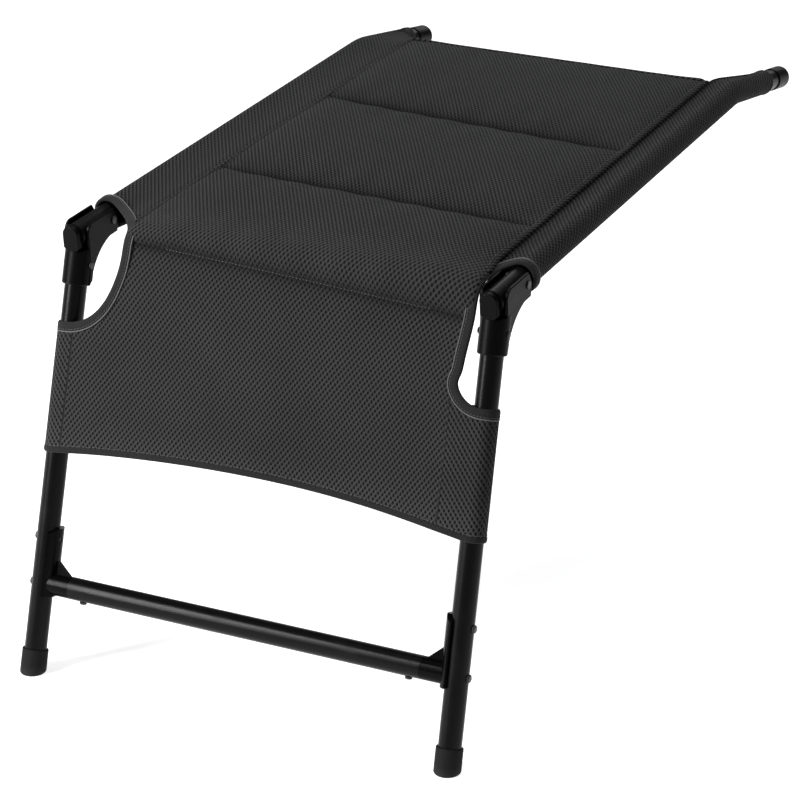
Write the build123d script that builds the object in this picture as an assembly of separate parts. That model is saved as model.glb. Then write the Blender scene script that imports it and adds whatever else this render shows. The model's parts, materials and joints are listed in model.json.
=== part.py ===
"""Folding padded leg rest for a reclining camping chair, in millimetres.

Frame: +X to the right seen from the foot side, +Y towards the chair, +Z up. The origin is
midway between the rear ends of the two side rails, on the rail axes, where a chair holds them.

Two side rails carry the padded cover. Two legs, joined by a crossbar, hinge on pins that pass
through the rails behind their front ends, and fold back under the rails.

Stations along a rail are measured rearward from its nose (u) and up from its axis (v).
Stations along a leg are measured up from the floor (a) and rearward from its axis (b).
Every handed piece is drawn for the right side; the left one is its mirror image.
"""
import os
from math import cos, radians, sin

from build123d import *

# tubes
tube_diameter = 22.0
tube_wall = 1.2

# side rails
rail_spacing = 442.0
rail_slope = 5.5
rail_front_length = 600.0
rail_bend_angle = 11.7
rail_bend_radius = 120.0
rail_rear_length = 145.0

# legs and crossbar
leg_tilt = 14.5
foot_spacing = 454.0
leg_offset = 32.5
pin_station = 52.5
pin_to_floor = 450.0
leg_top_station = 419.0
crossbar_station = 91.0
crossbar_end_gap = 19.5

# hinge brackets: cheeks beside the rail, a web under it and a socket for the leg
bracket_width = 28.0
bracket_edge_radius = 1.0
channel_clearance = 0.35
channel_floor_clearance = 0.5
cheek_front_station = 8.0
cheek_height = 10.8
cheek_crown_radius = 10.0
cheek_rear_station = 61.0
cheek_rear_slant = 6.0
cheek_rear_drop = 11.0
cheek_rear_undercut = 3.0
cheek_rear_depth = 13.6
cheek_foot_length = 13.0
web_rear_station = 34.0
web_arc_station = 26.5
web_arc_depth = 21.5
socket_bottom_station = 386.0
socket_wall_above_leg = 12.0
flange_depth = 6.0
flange_height = 14.0
flange_bevel_height = 5.0
flange_bevel_depth = 4.5
plug_seat_clearance = 0.3
plug_seat_front_station = -1.0
plug_seat_half_width = 5.0
plug_seat_thickness = 3.0

# pins, rivets and screws
pin_diameter = 6.0
pin_clearance = 0.05
pin_head_diameter = 8.0
pin_head_height = 1.0
head_gap = 0.3
rivet_diameter = 4.8
rivet_head_diameter = 8.0
rivet_head_height = 2.2
bracket_rivet_station = 406.0
bracket_rivet_head_diameter = 6.4
bracket_rivet_head_height = 1.4
corner_rivet_stations = (90.0, 136.0)
screw_diameter = 4.0
screw_head_diameter = 7.2
screw_head_height = 2.6
screw_head_rounding = 1.4
screw_setback = 13.5

# plugs, caps and feet
plug_fit = 0.05
plug_width = 17.5
plug_crown_rise = 2.5
plug_foot_depth = 14.0
plug_chamfer = 3.5
plug_edge_radius = 1.2
plug_thickness = 6.5
plug_ring_diameter = 23.4
plug_ring_thickness = 1.5
plug_spigot_length = 18.0
cap_diameter = 24.4
cap_grip = 22.0
cap_end = 10.0
cap_dome = 3.5
foot_diameter = 25.8
foot_height = 24.0
foot_sole = 4.0
foot_sole_radius = 2.0
foot_rim_chamfer = 0.6

# corner brackets
saddle_wall = 4.3
saddle_half_angle = 62.0
saddle_bottom_station = 79.0
saddle_top_station = 147.0
saddle_nick = 10.0
bracket_spigot_length = 23.4
gusset_top_station = 116.0
gusset_thickness = 5.0
gusset_root = 4.0
gusset_toe = 3.0

# padded cover
cover_thickness = 1.8
cover_gap = 0.2
seam_inset = 37.0
strip_thickness = 3.0
pad_thickness = 11.0
pad_rise = 2.0
pad_gap = 2.0
sleeve_front_station = 71.0
sleeve_rear_gap = 50.0
pad_front_station = 13.0
valley_stations = (172.0, 388.0)
seat_rear_station = 598.0
hem_width = 14.0
hem_thickness = 5.0
apron_top_station = 429.0
leg_sleeve_top_station = 345.0
apron_bottom_station = 219.0

tube_radius = tube_diameter / 2
bore_radius = tube_radius - tube_wall
sleeve_radius = tube_radius + cover_gap + cover_thickness
rear_slope = rail_slope - rail_bend_angle
rail_x = rail_spacing / 2
foot_x = foot_spacing / 2
seam_x = rail_x - seam_inset
plug_seat_depth = plug_foot_depth + plug_seat_clearance
cut_reach = 100.0


def rail_direction(slope):
    return Vector(0, cos(radians(slope)), sin(radians(slope)))


def rail_up(slope):
    return Vector(0, -sin(radians(slope)), cos(radians(slope)))


rail_bend_point = rail_direction(rear_slope) * -rail_rear_length
rail_nose = rail_bend_point - rail_direction(rail_slope) * rail_front_length
pin_centre = rail_nose + rail_direction(rail_slope) * pin_station
leg_up = Vector(0, sin(radians(leg_tilt)), cos(radians(leg_tilt)))
leg_rear = Vector(0, cos(radians(leg_tilt)), -sin(radians(leg_tilt)))
foot_centre = pin_centre - leg_up * pin_to_floor - leg_rear * leg_offset


def rail_point(u, v):
    """Point of the middle plane at rail station u and height v above the rail axis."""
    return rail_nose + rail_direction(rail_slope) * u + rail_up(rail_slope) * v


def leg_point(a, b):
    """Point of the middle plane at leg station a and depth b behind the leg axis."""
    return foot_centre + leg_up * a + leg_rear * b


crossbar_axis = leg_point(crossbar_station, 0)


def rail_plane(u):
    """Plane across the right rail at station u, with its y axis up and its z axis rearward."""
    origin = rail_point(u, 0) + Vector(rail_x, 0, 0)
    return Plane(origin=origin, x_dir=(-1, 0, 0), z_dir=rail_direction(rail_slope))


def rear_plane(w):
    """Plane across the right rail's rear run, w before its end, with its z axis rearward."""
    origin = rail_direction(rear_slope) * -w + Vector(rail_x, 0, 0)
    return Plane(origin=origin, x_dir=(-1, 0, 0), z_dir=rail_direction(rear_slope))


def leg_plane(a):
    """Plane across the splayed right leg at station a, with its z axis running up the leg."""
    foot = leg_point(0, 0) + Vector(foot_x, 0, 0)
    top = leg_point(pin_to_floor, 0) + Vector(rail_x, 0, 0)
    direction = (top - foot).normalized()
    return Plane(origin=foot + direction * a, x_dir=(1, 0, 0), z_dir=direction)


def leg_x(a):
    """X of the right leg's axis at station a."""
    return leg_plane(a).origin.X


crossbar_end = leg_x(crossbar_station) - tube_radius - saddle_wall - crossbar_end_gap


def side_plane(x):
    """Vertical plane at x; its local x is the row's Y and its local y is the row's Z."""
    return Plane(origin=(x, 0, 0), x_dir=(0, 1, 0), z_dir=(1, 0, 0))


def flat(point):
    """A point of the middle plane in side_plane coordinates."""
    return (point.Y, point.Z)


def polar(radius, angle):
    return (radius * cos(radians(angle)), radius * sin(radians(angle)))


def rod(plane, radius, length):
    """Cylinder that starts on the plane and runs along its z axis."""
    return plane * Cylinder(radius, length, align=(Align.CENTER, Align.CENTER, Align.MIN))


def cross_rod(x_low, x_high, point, radius):
    """Cylinder along X through a point of the middle plane."""
    plane = Plane(origin=(x_low, point.Y, point.Z), x_dir=(0, 1, 0), z_dir=(1, 0, 0))
    return rod(plane, radius, x_high - x_low)


def cross_hole(x, point, radius):
    """Cutter along X that passes through everything near x."""
    return cross_rod(x - tube_diameter, x + tube_diameter, point, radius)


def leg_cross_rod(a, start, end, radius):
    """Cylinder across the right leg at station a, square to it, between two distances outward."""
    plane = leg_plane(a)
    origin = plane.origin + plane.x_dir * start
    return rod(Plane(origin=origin, z_dir=plane.x_dir), radius, end - start)


def slab(outline, x_low, x_high):
    """Solid between two X values whose side view is the closed outline of middle-plane points."""
    face = make_face(Polyline([flat(p) for p in outline], close=True))
    return extrude(side_plane(x_low) * face, amount=x_high - x_low)


def rail_block(u_low, u_high, v_low, v_high, half_width):
    """Block aligned with the right rail, between two stations and two heights."""
    corners = [(u_low, v_low), (u_high, v_low), (u_high, v_high), (u_low, v_high)]
    return slab([rail_point(u, v) for u, v in corners], rail_x - half_width, rail_x + half_width)


def swept_ring(u_start, rear_gap, outer, inner):
    """Tube wall along the right rail, from a front station to a distance before its rear end."""
    start = flat(rail_point(u_start, 0))
    end = flat(rail_direction(rear_slope) * -rear_gap)
    path = side_plane(rail_x) * FilletPolyline(start, flat(rail_bend_point), end, radius=rail_bend_radius)
    section = rail_plane(u_start) * (Circle(outer) - Circle(inner))
    return sweep(section, path=path)


def rail():
    """Bent side rail with the cross hole for the hinge pin."""
    tube = swept_ring(plug_ring_thickness + plug_thickness / 2, 0, tube_radius, bore_radius)
    return tube - cross_hole(rail_x, pin_centre, pin_diameter / 2 + pin_clearance)


def nose_plug():
    """Front plug of a rail: a foot that seats on the leg socket, a ring and a spigot."""
    front = rail_plane(-plug_thickness / 2)
    half = plug_width / 2
    top = half + plug_crown_rise
    outline = Polyline(
        (-half, top - half),
        (-half, -plug_foot_depth + plug_chamfer),
        (-half + plug_chamfer, -plug_foot_depth),
        (half - plug_chamfer, -plug_foot_depth),
        (half, -plug_foot_depth + plug_chamfer),
        (half, top - half),
    )
    crown = ThreePointArc((half, top - half), (0, top), (-half, top - half))
    body = extrude(front * make_face(outline + crown), amount=plug_thickness)
    front_face = body.faces().sort_by(Axis(front.origin, front.z_dir))[0]
    body = fillet(front_face.edges(), plug_edge_radius)
    ring = rod(rail_plane(plug_thickness / 2), plug_ring_diameter / 2, plug_ring_thickness)
    spigot_start = rail_plane(plug_thickness / 2 + plug_ring_thickness)
    return body + ring + rod(spigot_start, bore_radius - plug_fit, plug_spigot_length)


def rail_cap():
    """Domed cap pushed over the chair end of a rail."""
    wall = rod(rear_plane(cap_grip), cap_diameter / 2, cap_grip + cap_end)
    wall = fillet(wall.faces().sort_by(Axis.Y)[-1].edges(), cap_dome)
    wall = chamfer(wall.faces().sort_by(Axis.Y)[0].edges(), foot_rim_chamfer)
    return wall - rod(rear_plane(cap_grip), tube_radius + plug_fit, cap_grip)


def bracket_blank():
    """Side view of the hinge bracket's cheeks, web and flange, drawn out to the full width."""
    shoulder = cheek_crown_radius * (1 - sin(radians(45)))
    flange_top = socket_bottom_station + flange_height
    front_high = flat(rail_point(cheek_front_station, cheek_height - cheek_crown_radius))
    crown_mid = flat(rail_point(cheek_front_station + shoulder, cheek_height - shoulder))
    crown_front = flat(rail_point(cheek_front_station + cheek_crown_radius, cheek_height))
    rear_low_station = cheek_rear_station - cheek_rear_undercut
    arc_start = flat(rail_point(rear_low_station - cheek_foot_length, -cheek_rear_depth))
    arc_middle = flat(rail_point(web_arc_station, -web_arc_depth))
    arc_end = flat(leg_point(flange_top, flange_depth))
    edges = Polyline(
        crown_front,
        flat(rail_point(cheek_rear_station - cheek_rear_slant, cheek_height)),
        flat(rail_point(cheek_rear_station, cheek_height - cheek_rear_drop)),
        flat(rail_point(rear_low_station, -cheek_rear_depth)),
        arc_start,
    )
    edges += ThreePointArc(arc_start, arc_middle, arc_end)
    edges += Polyline(
        arc_end,
        flat(leg_point(socket_bottom_station + flange_bevel_height, flange_depth)),
        flat(leg_point(socket_bottom_station, flange_depth - flange_bevel_depth)),
        flat(leg_point(socket_bottom_station, 0)),
        flat(leg_point(flange_top, 0)),
        flat(rail_point(cheek_front_station, -plug_seat_depth)),
        front_high,
    )
    edges += ThreePointArc(front_high, crown_mid, crown_front)
    x_low = rail_x - bracket_width / 2
    blank = extrude(side_plane(x_low) * make_face(edges), amount=bracket_width)
    return fillet(blank.faces().filter_by(Axis.X).edges(), bracket_edge_radius)


def hinge_bracket():
    """Moulded hinge bracket: an open channel for the rail over a socket for the leg."""
    socket_length = leg_top_station + socket_wall_above_leg - socket_bottom_station
    socket = rod(leg_plane(socket_bottom_station), bracket_width / 2, socket_length)
    socket = chamfer(socket.faces().sort_by(Axis.Z)[0].edges(), bracket_edge_radius)
    far = cut_reach
    socket -= rail_block(-far, far, -plug_seat_depth, far, tube_diameter)
    seat = rail_block(plug_seat_front_station, web_arc_station, -plug_seat_depth - plug_seat_thickness,
                      -plug_seat_depth, plug_seat_half_width)
    body = bracket_blank() + socket + seat
    half_channel = tube_radius + channel_clearance
    body -= rail_block(-far, far, -tube_radius - channel_floor_clearance, far, half_channel)
    body -= rail_block(-far, cheek_front_station, -plug_seat_depth, far, half_channel)
    body -= rail_block(web_rear_station, far, -far, far, half_channel)
    bore_start = socket_bottom_station - tube_radius
    body -= rod(leg_plane(bore_start), tube_radius + plug_fit, leg_top_station - bore_start)
    body -= cross_hole(rail_x, pin_centre, pin_diameter / 2 + pin_clearance)
    rivet_hole = rivet_diameter / 2 + plug_fit
    return body - cross_hole(rail_x, leg_point(bracket_rivet_station, 0), rivet_hole)


def domed_head(face, diameter, height):
    """Low round head that stands on a plane and points along its z axis."""
    head = rod(face, diameter / 2, height)
    far_edge = head.faces().sort_by(Axis(face.origin, face.z_dir))[-1].edges()
    return fillet(far_edge, height * 0.7)


def facing(point, direction):
    return Plane(origin=point, z_dir=direction)


def headed_pin(x_low, x_high, point, diameter, head_diameter, head_height):
    """Pin along X with a low head standing outside each of two faces."""
    middle = Vector(0, point.Y, point.Z)
    pin = cross_rod(x_low, x_high, point, diameter / 2)
    pin += domed_head(facing(middle + Vector(x_low, 0, 0), (-1, 0, 0)), head_diameter, head_height)
    return pin + domed_head(facing(middle + Vector(x_high, 0, 0), (1, 0, 0)), head_diameter, head_height)


def pivot_pin():
    """Hinge pin through the rail and both cheeks."""
    x_low = rail_x - bracket_width / 2 - head_gap
    x_high = rail_x + bracket_width / 2 + head_gap
    return headed_pin(x_low, x_high, pin_centre, pin_diameter, pin_head_diameter, pin_head_height)


def leg():
    """Straight leg tube from just inside the foot cap to the top of the bracket's socket."""
    length = leg_top_station - foot_sole - head_gap
    tube = rod(leg_plane(foot_sole), tube_radius, length) - rod(leg_plane(foot_sole), bore_radius, length)
    tube -= cross_hole(rail_x, leg_point(bracket_rivet_station, 0), rivet_diameter / 2 + plug_fit)
    for a in corner_rivet_stations:
        tube -= leg_cross_rod(a, -tube_diameter, tube_diameter, rivet_diameter / 2 + plug_fit)
    return tube


def foot_cap():
    """Rubber foot whose sole is cut level with the floor."""
    body = rod(leg_plane(-foot_sole), foot_diameter / 2, foot_height + foot_sole)
    floor = Plane(origin=(foot_x, foot_centre.Y, foot_centre.Z))
    size = 2 * foot_diameter
    body -= floor * Box(size, size, size, align=(Align.CENTER, Align.CENTER, Align.MAX))
    body = fillet(body.faces().sort_by(Axis.Z)[0].edges(), foot_sole_radius)
    body = chamfer(body.faces().sort_by(Axis.Z)[-1].edges(), foot_rim_chamfer)
    return body - rod(leg_plane(foot_sole), tube_radius + plug_fit, foot_height)


def screw_plane(drop):
    """Plane that looks down the crossbar's right fixing screw, drop below the bar's axis."""
    point = crossbar_axis - leg_up * drop
    x = crossbar_end - screw_setback
    return Plane(origin=(x, point.Y, point.Z), x_dir=(1, 0, 0), z_dir=leg_up * -1)


def screw_shank(clearance=0.0):
    """Shank of the right screw, from inside the spigot to the underside of the crossbar."""
    start = screw_diameter / 2
    return rod(screw_plane(start), screw_diameter / 2 + clearance, tube_radius - start)


def crossbar():
    """Tube between the two corner brackets."""
    tube = cross_rod(-crossbar_end, crossbar_end, crossbar_axis, tube_radius)
    tube -= cross_rod(-crossbar_end, crossbar_end, crossbar_axis, bore_radius)
    hole = screw_shank(plug_fit)
    return tube - hole - mirror(hole, about=Plane.YZ)


def crossbar_screw():
    """Pan-head screw up through the crossbar's right end."""
    head = rod(screw_plane(tube_radius + plug_fit), screw_head_diameter / 2, screw_head_height)
    head = fillet(head.faces().sort_by(Axis.Z)[0].edges(), screw_head_rounding)
    neck = rod(screw_plane(tube_radius - plug_fit), screw_diameter / 2, 3 * plug_fit)
    return screw_shank() + neck + head


def saddle():
    """Half-round plate that cups the inner side of the right leg."""
    length = saddle_top_station - saddle_bottom_station
    base = leg_plane(saddle_bottom_station)
    outer = tube_radius + saddle_wall
    corners = [(0, 0)]
    for share, turn in ((1.6, -saddle_half_angle), (2.4, 0), (1.6, saddle_half_angle)):
        corners.append(polar(outer * share, 180 + turn))
    sector = extrude(base * make_face(Polyline(corners, close=True)), amount=length)
    shell = rod(base, outer, length) - rod(base, tube_radius + plug_fit, length)
    nick = [
        leg_point(saddle_top_station - saddle_nick, -2 * saddle_nick),
        leg_point(saddle_top_station + 1, -saddle_nick / 5),
        leg_point(saddle_top_station + 1, -2 * saddle_nick),
    ]
    x = leg_x(saddle_top_station)
    return (shell & sector) - slab(nick, x - tube_diameter, x + tube_diameter)


def gusset():
    """Rib between the saddle and the neck, in the plane of the leg and the crossbar."""
    root = crossbar_axis + leg_up * (tube_radius - gusset_root)
    top = crossbar_axis + leg_up * (tube_radius - 1)
    plate = Vector(leg_x(crossbar_station) - tube_radius - saddle_wall + 1, 0, 0)
    toe = Vector(crossbar_end + gusset_toe, 0, 0)
    crest = plate + leg_point(gusset_top_station, 0)
    face = make_face(Polyline(plate + root, crest, toe + top, toe + root, close=True))
    return extrude(face, amount=gusset_thickness / 2, dir=leg_rear, both=True)


def corner_bracket():
    """Cast corner bracket: a saddle on the leg, a neck, a spigot and a gusset."""
    leg_axis_x = leg_x(crossbar_station)
    neck = cross_rod(crossbar_end, leg_axis_x - tube_radius, crossbar_axis, tube_radius)
    spigot_end = crossbar_end - bracket_spigot_length
    spigot = cross_rod(spigot_end, crossbar_end, crossbar_axis, bore_radius - plug_fit)
    body = saddle() + neck + spigot + gusset()
    body -= rod(leg_plane(0), tube_radius + plug_fit, leg_top_station)
    body -= screw_shank(plug_fit)
    for a in corner_rivet_stations:
        body -= leg_cross_rod(a, -tube_diameter, tube_diameter, rivet_diameter / 2 + plug_fit)
    return body


def corner_rivet(a):
    """Rivet through the right leg's outer side into the corner bracket."""
    shank_start = -tube_radius - saddle_wall + 1
    shank = leg_cross_rod(a, shank_start, tube_radius, rivet_diameter / 2)
    plane = leg_plane(a)
    face = facing(plane.origin + plane.x_dir * tube_radius, plane.x_dir)
    return shank + domed_head(face, rivet_head_diameter, rivet_head_height)


def bracket_rivet():
    """Rivet that holds the right leg tube in the bracket's socket."""
    leg_side = leg_x(bracket_rivet_station)
    x_low = min(leg_side, rail_x) - bracket_width / 2
    x_high = max(leg_side, rail_x) + bracket_width / 2
    point = leg_point(bracket_rivet_station, 0)
    return headed_pin(x_low, x_high, point, rivet_diameter,
                      bracket_rivet_head_diameter, bracket_rivet_head_height)


def seat_layer(u_low, u_high, top, thickness, x_low, x_high):
    """Flat layer of the seat between two rail stations, its upper face at height top."""
    corners = [(u_low, top - thickness), (u_high, top - thickness), (u_high, top), (u_low, top)]
    return slab([rail_point(u, v) for u, v in corners], x_low, x_high)


def rail_sleeve():
    """Sleeve of the cover around a rail, with the strip that runs in to the long seam."""
    inner = tube_radius + cover_gap
    ring = swept_ring(sleeve_front_station, sleeve_rear_gap, sleeve_radius, inner)
    strip = seat_layer(sleeve_front_station, seat_rear_station, sleeve_radius, strip_thickness,
                       seam_x, rail_x)
    bore = swept_ring(sleeve_front_station, sleeve_rear_gap, inner, 1.0)
    return ring + (strip - bore)


def seat_pad(u_low, u_high):
    """Padded section between two sewn valleys."""
    return seat_layer(u_low, u_high, sleeve_radius + pad_rise, pad_thickness, -seam_x, seam_x)


def apron_layer(a_low, a_high, thickness, x_low, x_high):
    """Flat layer of the hanging cover, whose front face is level with the leg sleeves."""
    front = -sleeve_radius
    corners = [(a_low, front), (a_high, front), (a_high, front + thickness), (a_low, front + thickness)]
    return slab([leg_point(a, b) for a, b in corners], x_low, x_high)


def leg_sleeve():
    """Sleeve of the cover around a leg, with the strip that runs in to the seam."""
    length = leg_sleeve_top_station - apron_bottom_station
    ring = rod(leg_plane(apron_bottom_station), sleeve_radius, length)
    x = leg_x(apron_bottom_station)
    ring += apron_layer(apron_bottom_station, leg_sleeve_top_station, strip_thickness, seam_x, x)
    return ring - rod(leg_plane(0), tube_radius + cover_gap, leg_top_station)


def both_sides(*pieces):
    """The given right-hand pieces and their mirror images, as separate solids."""
    return Compound([*pieces, *[mirror(piece, about=Plane.YZ) for piece in pieces]])


def build_nodes():
    handed = {
        "rail": rail(),
        "nose_plug": nose_plug(),
        "rail_cap": rail_cap(),
        "pivot_pin": pivot_pin(),
        "rail_sleeve": rail_sleeve(),
        "hinge_bracket": hinge_bracket(),
        "leg": leg(),
        "foot_cap": foot_cap(),
        "corner_bracket": corner_bracket(),
        "leg_sleeve": leg_sleeve(),
    }
    nodes = {}
    for name, shape in handed.items():
        nodes[f"right_{name}"] = shape
        nodes[f"left_{name}"] = mirror(shape, about=Plane.YZ)
    first_valley, second_valley = valley_stations
    half_gap = pad_gap / 2
    hem_top = apron_bottom_station + hem_width
    nodes["seat_pad_front"] = seat_pad(pad_front_station, first_valley - half_gap)
    nodes["seat_pad_middle"] = seat_pad(first_valley + half_gap, second_valley - half_gap)
    hem_front = seat_rear_station - hem_width
    nodes["seat_pad_rear"] = seat_pad(second_valley + half_gap, hem_front)
    nodes["rear_hem"] = seat_layer(hem_front, seat_rear_station, sleeve_radius, hem_thickness,
                                   -seam_x, seam_x)
    nodes["apron"] = apron_layer(hem_top, apron_top_station, strip_thickness, -seam_x, seam_x)
    nodes["apron_hem"] = apron_layer(apron_bottom_station, hem_top, hem_thickness, -seam_x, seam_x)
    nodes["crossbar"] = crossbar()
    nodes["crossbar_screws"] = both_sides(crossbar_screw())
    nodes["corner_rivets"] = both_sides(*[corner_rivet(a) for a in corner_rivet_stations])
    nodes["bracket_rivets"] = both_sides(bracket_rivet())
    return nodes


os.makedirs("parts", exist_ok=True)
for node_name, shape in build_nodes().items():
    export_step(shape, f"parts/{node_name}.step")
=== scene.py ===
import json
from math import asin, cos, pi, radians, sin, tan

import bmesh
import bpy
import numpy as np
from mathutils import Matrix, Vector


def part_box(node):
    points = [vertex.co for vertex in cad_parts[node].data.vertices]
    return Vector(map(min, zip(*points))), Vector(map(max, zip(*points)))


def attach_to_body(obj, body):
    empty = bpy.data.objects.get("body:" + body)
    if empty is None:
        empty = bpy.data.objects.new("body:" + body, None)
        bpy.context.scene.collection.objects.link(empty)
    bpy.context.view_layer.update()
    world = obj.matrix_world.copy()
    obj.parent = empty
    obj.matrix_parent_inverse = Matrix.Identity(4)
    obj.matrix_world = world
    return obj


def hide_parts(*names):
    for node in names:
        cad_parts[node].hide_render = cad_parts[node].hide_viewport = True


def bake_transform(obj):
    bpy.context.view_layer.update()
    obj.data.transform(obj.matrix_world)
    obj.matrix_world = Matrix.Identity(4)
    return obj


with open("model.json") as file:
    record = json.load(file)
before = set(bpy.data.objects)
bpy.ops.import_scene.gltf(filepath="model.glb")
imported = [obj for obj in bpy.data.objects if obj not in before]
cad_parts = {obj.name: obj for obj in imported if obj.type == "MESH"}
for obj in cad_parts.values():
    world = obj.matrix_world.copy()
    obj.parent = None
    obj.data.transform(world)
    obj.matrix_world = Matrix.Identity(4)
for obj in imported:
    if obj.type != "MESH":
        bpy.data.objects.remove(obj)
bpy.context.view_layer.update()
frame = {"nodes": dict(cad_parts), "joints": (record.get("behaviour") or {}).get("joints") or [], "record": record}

bl_info = {
    "name": "Padded Leg Rest",
    "version": (1, 0, 0),
    "blender": (4, 5, 0),
    "location": "View3D > Sidebar > Leg Rest",
    "description": "Sews the padded mesh cover of a folding leg rest onto its tube frame",
    "category": "Object",
}

HINGE = Vector(frame["joints"][0]["pos_m"])
RAIL_LOW, RAIL_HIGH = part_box("right_rail")
RAIL_X = (RAIL_LOW.x + RAIL_HIGH.x) / 2
TUBE_RADIUS = (RAIL_HIGH.x - RAIL_LOW.x) / 2
FOOT_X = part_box("right_leg")[1].x - TUBE_RADIUS
FLOOR_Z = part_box("right_foot_cap")[0].z
SIDES = (("left", -1), ("right", 1))
STRAIGHT = 0.3  # a place in the straight part of rails and legs, from the nose and from the foot
RAIL_FOLD_START = 0.045  # rail station where the cover's bend with the hinge would start; attach reads it but bends nothing
LEG_FOLD_END = 0.395  # leg station where that bend would end
WIDENING_REACH = 0.07  # width of the cloth that is drawn out with the right edge


def length(name, text, default):
    return bpy.props.FloatProperty(name=name, description=text, default=default, unit="LENGTH", precision=4)


def turn(name, text, degrees):
    return bpy.props.FloatProperty(name=name, description=text, default=radians(degrees), subtype="ANGLE")


def colour(name, text, grey):
    return bpy.props.FloatVectorProperty(name=name, description=text, default=grey, size=3, subtype="COLOR",
                                         min=0.0, max=1.0)


class TubeLines(bpy.types.PropertyGroup):
    """Lines of the tubes that the cover is sewn round"""
    rail_slope: turn("Rail slope", "Rise of the rails towards the chair", 5.5)
    rail_bend: turn("Rail bend", "Downward bend near the chair end of each rail", 11.7)
    bend_radius: length("Bend radius", "Radius of that bend on the tube's axis", 0.120)
    front_length: length("Front length", "Rail length from the nose to the bend", 0.600)
    rear_length: length("Rear length", "Rail length from the bend to the chair end", 0.145)
    pin_station: length("Pin station", "Distance from the rail's nose to the hinge pin", 0.0525)
    leg_tilt: turn("Leg tilt", "Backward lean of the legs", 14.5)
    leg_offset: length("Leg offset", "Distance of the leg axis in front of the hinge pin", 0.0325)


class CoverSizes(bpy.types.PropertyGroup):
    """Cut and sewing of the padded cover"""
    cloth: length("Cloth", "Thickness of the spacer mesh", 0.0016)
    ease: length("Ease", "Gap between a tube and the cloth round it", 0.0004)
    left_seam: length("Left seam", "Distance of the left long seam from the middle", 0.165)
    right_seam: length("Right seam", "Distance of the right long seam from the middle", 0.1995)
    rear_edge: length("Rear edge", "Rail station of the rear edge, in the middle", 0.600)
    rear_skew: length("Rear skew", "Slant of the rear edge over one metre of width", 0.062)
    second_valley: length("Rear valley", "Rail station of the rear cross seam, in the middle", 0.389)
    second_skew: length("Rear valley skew", "Slant of the rear cross seam over one metre", 0.126)
    first_valley: length("Front valley", "Rail station of the front cross seam, in the middle", 0.170)
    first_skew: length("Front valley skew", "Slant of the front cross seam over one metre", 0.091)
    fold_seam: length("Fold seam", "Leg station of the cross seam under the fold, in the middle", 0.427)
    fold_skew: length("Fold seam skew", "Slant of the fold seam over one metre", 0.057)
    fold_radius: length("Fold radius", "Radius of the fold over the front edge", 0.024)
    pad_rise: length("Pad rise", "Height of a filled pad over its seams", 0.0095)
    pad_depth: length("Pad depth", "Depth of a filled pad under its seams", 0.0060)
    valley_drop: length("Valley drop", "Depth that the cross seams pull down", 0.0055)
    mouth_station: length("Mouth station", "Rail station of the sleeve's front mouth", 0.065)
    left_cutout_rise: length("Left cut-out rise", "Length of the left cut-out's curve on the seat", 0.053)
    right_cutout_rise: length("Right cut-out rise", "Length of the right cut-out's curve on the seat", 0.040)
    right_widening: length("Right widening", "How far the right edge runs out beside the hinge", 0.0065)
    mouth_flare: length("Mouth flare", "How far a rail sleeve opens at its front mouth", 0.0030)
    flare_length: length("Flare length", "Length over which a sleeve opens", 0.022)
    flap_setback: length("Flap setback", "How far a sleeve's lower flap stops behind its mouth", 0.014)
    band_sag: length("Band sag", "Sag of a side band between its seam and the rail", 0.0016)
    left_ring: length("Left ring", "Distance of the left closed sleeve from the sleeve's rear end", -0.012)
    right_ring: length("Right ring", "Distance of the right closed sleeve from the sleeve's rear end", 0.010)
    left_tail: length("Left tail", "How far the left sleeve's inner side runs to the rear", 0.018)
    right_tail: length("Right tail", "How far the right sleeve's inner side runs to the rear", 0.004)
    corner_ease: length("Corner ease", "Distance of the sleeve's taper from the panel's rear corner", 0.004)
    apron_hollow: length("Apron hollow", "Depth of the hollow between the legs", 0.0045)
    apron_drape: length("Apron drape", "Height of the soft waves on the apron", 0.0018)
    hem_skew: length("Hem skew", "How much lower the hem hangs at the right leg than in the middle", 0.0028)
    seam_groove: length("Seam groove", "Depth of the groove outside each long seam", 0.0014)
    sleeve_rear_gap: length("Sleeve rear gap", "Bare end of each rail behind its sleeve", 0.050)
    left_sleeve_top: length("Left leg sleeve", "Leg station of the left sleeve's top", 0.349)
    left_cutout_top: length("Left cut-out", "Leg station where the left cut-out starts to curve", 0.430)
    right_sleeve_top: length("Right leg sleeve", "Leg station of the right sleeve's top", 0.337)
    right_cutout_top: length("Right cut-out", "Leg station where the right cut-out starts to curve", 0.363)
    hem_station: length("Hem station", "Leg station of the hem at the legs", 0.2195)
    hem_arch: length("Hem arch", "Rise of the hem between the legs", 0.0165)
    left_pocket: length("Left pocket", "Width of the left leg pocket inside the leg's axis", 0.010)
    right_pocket: length("Right pocket", "Width of the right leg pocket inside the leg's axis", 0.032)
    binding_width: length("Binding width", "Width of the tape round the cut-outs", 0.0085)
    hem_width: length("Hem width", "Width of the hem tape", 0.0050)
    stitch_pitch: length("Stitch pitch", "Distance between stitches", 0.0036)


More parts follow.
